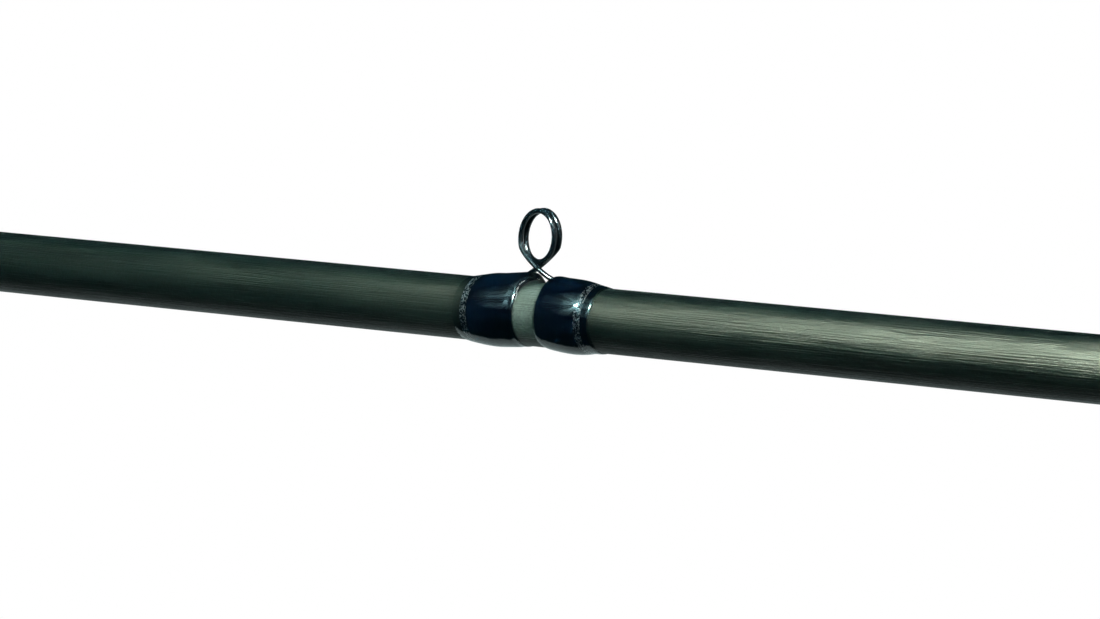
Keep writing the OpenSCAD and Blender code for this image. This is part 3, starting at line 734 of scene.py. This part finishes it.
def brushedMaterial(name, dark, light, rough):  # fine lines round the rod from the lathe
    material, bench = newMaterial(name)
    place, x, y, z = inMillimetres(bench)
    angle = degreesRound(y, z)
    lines = bench.noise(bench.vector(x * 9, angle * 0.004, 0.5), 1.0, 3.0, 0.6)
    marks = bench.noise(place, 0.5, 4.0, 0.65)
    base = bench.mix((lines * 0.6 + marks * 0.4).step(0.3, 0.7), dark, light)
    finishSurface(bench, {"Base Color": base, "Metallic": 0.95,
                          "Roughness": rough + 0.12 * lines + 0.08 * marks,
                          "Normal": bench.bump(lines, 0.00001, 0.6)})
    return material


def seatMaterial():
    material, bench = newMaterial("satinSeat")
    place = inMillimetres(bench)[0]
    grain = bench.noise(place, 4.0, 2.0, 0.6)
    wear = bench.noise(place, 0.12, 4.0, 0.65)
    base = bench.mix((grain * 0.35 + wear * 0.65).step(0.35, 0.65),
                     colour(0.007, 0.010, 0.011), colour(0.016, 0.021, 0.022))
    finishSurface(bench, {"Base Color": base, "Roughness": 0.34 + 0.16 * wear + 0.1 * grain,
                          "Normal": bench.bump(grain, 0.00003, 0.5)})
    return material


def guideMetalMaterial():
    material, bench = newMaterial("darkGuideMetal")
    place = inMillimetres(bench)[0]
    marks = bench.noise(place, 1.1, 4.0, 0.65)
    base = bench.mix(marks.step(0.3, 0.7), colour(0.02, 0.024, 0.028), colour(0.05, 0.056, 0.062))
    finishSurface(bench, {"Base Color": base, "Metallic": 0.85, "Roughness": 0.22 + 0.14 * marks,
                          "Normal": bench.bump(marks, 0.00001, 0.4)})
    return material


def ceramicMaterial():
    material, bench = newMaterial("polishedCeramic")
    place = inMillimetres(bench)[0]
    marks = bench.noise(place, 0.6, 3.0, 0.6)
    base = bench.mix(marks.step(0.3, 0.7), colour(0.012, 0.014, 0.016), colour(0.028, 0.031, 0.034))
    finishSurface(bench, {"Base Color": base, "Roughness": 0.06 + 0.07 * marks,
                          "Coat Weight": 0.5 + 0.3 * marks})
    return material


def foamMaterial():
    material, bench = newMaterial("arborFoam")
    place = inMillimetres(bench)[0]
    cells = bench.add("ShaderNodeTexVoronoi", {"feature": "F1"},
                      {"Vector": place, "Scale": 1.4}, "Distance")
    base = bench.mix(cells, colour(0.10, 0.10, 0.095), colour(0.24, 0.235, 0.22))
    finishSurface(bench, {"Base Color": base, "Roughness": 0.8 + 0.15 * cells,
                          "Normal": bench.bump(cells, 0.0002, 0.7)})
    return material


cork = {
    "ring": 12.0,        # length of each cork ring
    "groove": 0.09,      # depth of the seam between rings
    "neck": 10.9,        # radius at the reel seat
    "straight": 100.0,   # where the rear grip starts to narrow
}
corkFinish = corkMaterial()
rubberFinish = rubberMaterial()
burlFinish = burlMaterial()
seatFinish = seatMaterial()
guideMetal = guideMetalMaterial()
ceramicFinish = ceramicMaterial()
foamFinish = foamMaterial()
checkMetal = brushedMaterial("checkMetal", colour(0.17, 0.19, 0.2), colour(0.36, 0.38, 0.39), 0.2)
linerMetal = brushedMaterial("linerMetal", colour(0.42, 0.43, 0.43), colour(0.62, 0.63, 0.62), 0.26)
print("finishes mixed")


def extent(node):
    low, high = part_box(node)
    return low.x / mm, high.x / mm


def bored(outline):  # closes a turned outline with the blank's bore
    x0, x1 = outline[0][0], outline[-1][0]
    return outline + [(x1, blankRadius(x1) + 0.02), (x0, blankRadius(x0) + 0.02)]


def rounded(outline, corner=0.35):  # rounds each corner of an outline except its two ends
    points = [outline[0]]
    for before, here, after in zip(outline, outline[1:], outline[2:]):
        here = Vector(here)
        back, ahead = Vector(before) - here, Vector(after) - here
        reach = min(corner, back.length * 0.45, ahead.length * 0.45)
        start, end = here + back.normalized() * reach, here + ahead.normalized() * reach
        points += [tuple(start * (1 - u) ** 2 + 2 * here * u * (1 - u) + end * u * u)
                   for u in (0, 0.25, 0.5, 0.75, 1)]
    return points + [outline[-1]]


# distances from a seam between cork rings, and the share of the groove's depth there
seamShape = ((-6, 0), (-3, 0), (-0.35, 0), (-0.12, 0.5), (0, 1), (0.12, 0.5), (0.35, 0), (3, 0))


def corkGrip(name, node, radiusAt):
    x0, x1 = extent(node)
    points = [(x0, radiusAt(x0) - 0.25), (x0 + 0.12, radiusAt(x0) - 0.07), (x0 + 0.35, radiusAt(x0))]
    seam = math.ceil((x0 + 1) / cork["ring"]) * cork["ring"]
    while seam < x1 - 1:
        points += [(seam + dx, radiusAt(seam + dx) - cork["groove"] * depth)
                   for dx, depth in seamShape
                   if x0 + 0.4 < seam + dx < x1 - 0.4]
        seam += cork["ring"]
    points = sorted(set(points))
    points += [(x1 - 0.35, radiusAt(x1)), (x1 - 0.12, radiusAt(x1) - 0.07), (x1, radiusAt(x1) - 0.25)]
    put(spinOutline(name, bored(points), 128, 30), corkFinish, "butt_section", "cork", node)


def rearRadius(x):
    start, end = cork["straight"], extent("rear_grip")[1]
    share = min(1, max(0, (x - start) / (end - start)))
    return cork["neck"] + (12.5 - cork["neck"]) * (1 + math.cos(math.pi * share)) / 2


def frontRadius(x):
    start, end = extent("foregrip")
    return 12.0 - 2.9 * (1 - math.cos(math.pi / 2 * (x - start) / (end - start)))


corkGrip("rearGrip", "rear_grip", rearRadius)
corkGrip("foreGrip", "foregrip", frontRadius)


def turnedPiece(name, node, material, slot, rows, corner=0.3, sides=128):
    # rows of [distance from its rear end, radius]
    x0 = extent(node)[0]
    outline = rounded([(x0 + dx, radius) for dx, radius in rows], corner)
    put(spinOutline(name, bored(outline), sides, 35), material, "butt_section", slot, node)


def buttCap():
    x0, x1 = extent("butt_cap")
    outline = [(x0 + 0.5, 0.0), (x0 + 0.5, 6.0), (x0, 6.6), (x0, 8.4)]
    turns = [math.radians(degrees) for degrees in range(15, 91, 15)]
    outline += [(x0 + 3 - 3 * math.cos(a), 8.5 + 3.9 * math.sin(a)) for a in turns]   # the rounded rear edge
    for k in range(3):
        groove = x0 + 8 + 4 * k
        outline += [(groove, 12.4), (groove, 11.8), (groove + 2, 11.8), (groove + 2, 12.4)]
    outline += [(x1 - 0.1, 12.4), (x1, 12.2), (x1, 5.9), (x0 + 7.95, 5.9), (x0 + 7.95, 0.0)]
    piece = spinOutline("buttCap", rounded(outline, 0.25), 128, 35, closed=False)
    put(piece, rubberFinish, "butt_section", "rubber", "butt_cap")


buttCap()
turnedPiece("rearTrim", "rear_trim", burlFinish, "trim",
            [[0, 11.9], [0.02, 12.2], [7.98, 12.2], [8, 11.9]], 0.25)
turnedPiece("seatCheck", "seat_check", checkMetal, "check_metal",
            [[0, 10.9], [0, 11.3], [0.5, 11.5], [1.5, 11.5], [1.7, 11.2], [2.3, 11.2], [2.5, 11.5],
             [3.5, 11.5], [4, 11.3], [4, 10.9]], 0.15)
turnedPiece("foreGripRearTrim", "foregrip_rear_trim", burlFinish, "trim",
            [[0, 11.3], [0.4, 12.0], [7.98, 12.0], [8, 11.8]], 0.3)
turnedPiece("foreGripFrontTrim", "foregrip_front_trim", burlFinish, "trim",
            [[0, 8.9], [0.02, 9.1], [7, 8.9], [8, 8.3], [8, 8.0]], 0.5)
turnedPiece("windingCheck", "winding_check", checkMetal, "check_metal",
            [[0, 8.2], [0, 8.4], [0.5, 8.6], [0.9, 8.6], [1.05, 8.4], [1.25, 8.4], [1.4, 8.6],
             [1.8, 8.6], [2, 7.9], [4.7, 6.1], [5, 5.8], [5, 5.6]], 0.12)


def smoothCopy(name, node, material, body, slot, angle=28):
    # a cleaned copy of the CAD solid: corners softened, curves shaded smooth
    source = frame["nodes"][node]
    piece = bpy.data.objects.new(name, source.data.copy())
    bpy.context.scene.collection.objects.link(piece)
    deselectAll()
    bpy.context.view_layer.objects.active = piece
    piece.select_set(True)
    bpy.ops.object.mode_set(mode="EDIT")
    bpy.ops.mesh.select_all(action="SELECT")
    bpy.ops.mesh.remove_doubles(threshold=2e-6)
    bpy.ops.mesh.select_all(action="SELECT")
    bpy.ops.mesh.dissolve_limited(angle_limit=math.radians(1.0))
    bpy.ops.object.mode_set(mode="OBJECT")
    soften = piece.modifiers.new("soften", "BEVEL")
    soften.limit_method = "ANGLE"
    soften.angle_limit = math.radians(40)
    soften.width = 0.22 * mm
    soften.segments = 2
    bpy.ops.object.modifier_apply(modifier=soften.name)
    bpy.ops.object.shade_smooth_by_angle(angle=math.radians(angle))
    put(piece, material, body, slot, node)
    return piece


smoothCopy("seatArbors", "seat_arbors", foamFinish, "butt_section", "arbor")
smoothCopy("reelSeat", "reel_seat", seatFinish, "butt_section", "seat_plastic")
smoothCopy("fixedHoodLiner", "fixed_hood_liner", linerMetal, "butt_section", "liner_metal")
smoothCopy("slidingHood", "sliding_hood", seatFinish, "sliding_hood", "seat_plastic")
smoothCopy("slidingHoodLiner", "sliding_hood_liner", linerMetal, "sliding_hood", "liner_metal")
smoothCopy("lockNut", "lock_nut", seatFinish, "lock_nut", "seat_plastic")
smoothCopy("lockNutRing", "lock_nut_ring", checkMetal, "lock_nut", "check_metal")
print("handle built")


def plainWinding(name, body, thread, finish, lips):  # lips: how far the finish rises at each end
    low, high = extent(finish)
    turns = woundThread(name + "Thread", *extent(thread), None, 0.2, 0.14, plainTurn, 96)
    put(turns, navyThread, body, "thread", thread)

    def thickness(x, turn):
        share = (x - low) / (high - low)
        rise = min(1, (x - low) / lips[0], (high - x) / lips[1])
        return 0.02 + 0.2 * max(0, rise) ** 0.6 + 0.36 * 4 * share * (1 - share) * max(0, rise)

    put(finishShell(name + "Finish", low, high, thickness, 96, 40), clearFinish, body, "finish", finish)


plainWinding("check", "butt_section", "check_thread", "check_finish", (0.08, 1.2))
plainWinding("ferrule", "tip_section", "ferrule_thread", "ferrule_finish", (0.8, 1.2))
plainWinding("tipTop", "tip_section", "tip_top_thread", "tip_top_finish", (0.8, 0.08))


def tipBlank():
    socketEnd = buttHigh.x + 4
    bore = 1666.0   # where the hollow ends
    steps = 40
    xs = [tipLow.x + (tipHigh.x - tipLow.x) * k / steps for k in range(steps + 1)]
    outside = [(x, tipRadius(x)) for x in xs]
    inside = [(tipHigh.x, 0.0), (bore, 0.0), (bore, 0.9), (socketEnd, tipRadius(socketEnd) - blank["wall"]),
              (socketEnd, buttRadius(socketEnd) + 0.03), (tipLow.x, buttRadius(tipLow.x) + 0.03)]
    put(spinOutline("tipBlank", outside + inside, 96, 30), carbon, "tip_section", "blank", "tip_blank")


tipBlank()
print("tip section turned")

guides = {
    "tilt": 8.0,                # degrees that a ring leans back to the butt
    "legAngles": (48, 14, 40),  # where legs meet the ring: rear, front of two-footed, single
    "footPair": 0.3,            # half the distance between the two wires of a foot
    "twoFooted": (1, 2),
    "wireRadius": (0.35, 0.018),   # mm, and what each mm of the ring's width adds
    "footLength": (5.0, 0.45),     # in the same way
    "exits": (0.62, 0.4),       # from the ring to a foot, in ring widths: rear or single, front of two
}


def tiltedRing(name, middle, rows, sides):
    # a ring about its own tilted axis, from rows of [along its axis, radius]
    ring = spinOutline(name, rows, sides, 50)
    deselectAll()
    bpy.context.view_layer.objects.active = ring
    ring.select_set(True)
    ring.rotation_euler = (0, -math.radians(guides["tilt"]), 0)
    ring.location = middle * mm
    return settle(ring, name, 50)


def onRing(middle, angle, radius):  # angle from the ring's point nearest the blank
    tilt, turn = math.radians(guides["tilt"]), math.radians(angle)
    rise = radius * math.cos(turn)
    return middle + Vector((-rise * math.sin(tilt), radius * math.sin(turn), rise * math.cos(tilt)))


def makeGuide(k):
    prefix = f"guide_{k}_"
    ringLow, ringHigh = (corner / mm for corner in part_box(prefix + "ring"))
    middle = (ringLow + ringHigh) / 2
    middle.y = 0
    body = "butt_section" if middle.x < tipLow.x else "tip_section"
    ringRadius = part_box(prefix + "frame")[1].y / mm
    size = 2 * ringRadius
    wire = guides["wireRadius"][0] + guides["wireRadius"][1] * size
    footLength = guides["footLength"][0] + guides["footLength"][1] * size
    rearShare, frontShare = guides["exits"]
    twoFooted = k in guides["twoFooted"]
    ceramicOuter = ringRadius - 0.9 * wire - 0.02
    bore = next(m["dims"]["r_mm"] for m in mountList if m["name"] == prefix + "bore")
    half = wire + 0.35
    centre, reach = (ceramicOuter + bore) / 2, (ceramicOuter - bore) / 2
    section = [(half * math.cos(a), centre + reach * math.sin(a))
               for a in [math.radians(d) for d in range(0, 360, 18)]]
    ceramic = tiltedRing(f"guide{k}Ring", middle, section, 96)
    put(ceramic, ceramicFinish, body, "guide_ceramic", prefix + "ring")
    rim = ringRadius - 0.45 * wire
    hoop = [(wire * 0.98 * math.cos(a), rim + 0.44 * wire * math.sin(a))
            for a in [math.radians(d) for d in range(0, 360, 24)]]
    parts = [tiltedRing(f"guide{k}Hoop", middle, hoop, 96)]
    if twoFooted:
        feet = [(-1, middle.x - rearShare * size, guides["legAngles"][0]),
                (1, middle.x + frontShare * size, guides["legAngles"][1])]
    else:
        feet = [(1, middle.x + rearShare * size, guides["legAngles"][2])]
    seatX = feet[0][1] - footLength if twoFooted else feet[-1][1]
    seat = blankRadius(seatX) + 0.02
    threads, shells = [], []
    for way, exitX, legAngle in feet:
        for side in (-1, 1):
            foot = Vector((exitX - way * 0.3 * wire, side * guides["footPair"], -seat - wire))
            joint = onRing(middle, side * legAngle, rim)
            span = (joint - foot).length
            leave = Vector((-way, side * 0.12, 0)).normalized() * span * 0.16
            arrive = (joint - foot).normalized() * 0.75 + Vector((0, side * 0.18, -0.25))
            arrive = arrive.normalized() * span * 0.3
            run = [Vector((exitX + way * footLength * (1 - j / 14), side * guides["footPair"], -seat - wire))
                   for j in range(14)]
            path = run + bentPath(foot, leave, joint, arrive, 22)
            leg = curveThrough(f"guide{k}Leg", path, wire * 0.97, 16)
            for vertex in leg.data.vertices:   # the foot is ground flat, with a feathered end
                x, z = vertex.co.x / mm, vertex.co.z / mm
                beyond = way * (x - exitX) / footLength
                if beyond > 0:
                    thick = 1 if beyond < 0.4 else 1 - (beyond - 0.4) / 0.6 * (1 - 0.13 / wire)
                    vertex.co.z = (-seat + (z + seat) * thick) * mm
            leg.data.update()
            parts.append(leg)
        low, high = sorted((exitX + way * 0.8, exitX + way * (footLength + 1.6)))
        halfWidth = math.degrees((0.3 + wire + 0.35) / seat)

        def footHeight(x, turn):
            d = way * (x - exitX)
            ground = max(0, (d / footLength - 0.4) / 0.6)   # how far the foot is ground down there
            tall = 2 * wire - ground * (2 * wire - 0.25)
            tall *= min(1, max(0, (footLength + 1 - d) / 1.0))
            away = 180 - abs(turn)
            return max(0, tall + 0.06) / (1 + (away / halfWidth) ** 6)

        def thickness(x, turn):
            share = min(1, max(0, (x - low + 0.9) / (high - low + 1.8)))
            rise = min(1, max(0, min(x - low + 0.9, high + 0.9 - x) / 0.9))
            crown = 0.02 + 0.2 * rise ** 0.6 + 0.34 * 4 * share * (1 - share) * rise
            d = way * (x - exitX)
            tall = eased([[0, 2 * wire * 0.7], [0.9, 2 * wire + 0.12], [0.45 * footLength, 2 * wire + 0.12],
                          [footLength, 0.35], [footLength + 1.6, 0.0]], d)
            away = 180 - abs(turn)
            return crown + tall * bell(away, halfWidth * 1.9) * (1 if d > 0 else 0.6)

        threads.append(woundThread(f"guide{k}Thread", low, high, footHeight, 0.2, 0.13, plainTurn, 72))
        shells.append(finishShell(f"guide{k}Finish", low - 0.9, high + 0.9, thickness, 80, 34))
    put(joined(f"guide{k}Frame", parts), guideMetal, body, "guide_metal", prefix + "frame")
    put(joined(f"guide{k}Thread", threads), navyThread, body, "thread", prefix + "thread")
    put(joined(f"guide{k}Finish", shells), clearFinish, body, "finish", prefix + "finish")


mountList = frame["record"]["mounts"]
for k in range(1, 7):
    makeGuide(k)
print("guides bent and wound")

smoothCopy("tipTopFrame", "tip_top_frame", guideMetal, "tip_section", "guide_metal")
smoothCopy("tipTopRing", "tip_top_ring", ceramicFinish, "tip_section", "guide_ceramic")
print("tip-top fitted")


def makeFloor():
    deselectAll()
    bpy.ops.mesh.primitive_grid_add(x_subdivisions=8, y_subdivisions=8, size=14, location=studio["floor"])
    floor = settle(bpy.context.object, "floor")
    material, bench = newMaterial("paleFloor")
    y = inMillimetres(bench)[2]
    seen = bench.add("ShaderNodeLightPath", None, None, "Is Camera Ray")
    behind = y.step(-6, 6)
    tone = bench.mix(behind, colour(*studio["room"]), colour(*studio["under"]))
    shown = bench.mix(seen, tone, colour(1, 1, 1))
    glow = bench.add("ShaderNodeEmission", None, {"Color": shown, "Strength": 1.0})
    bench.add("ShaderNodeOutputMaterial", None, {"Surface": glow})
    floor.data.materials.append(material)


makeFloor()
print("floor laid")
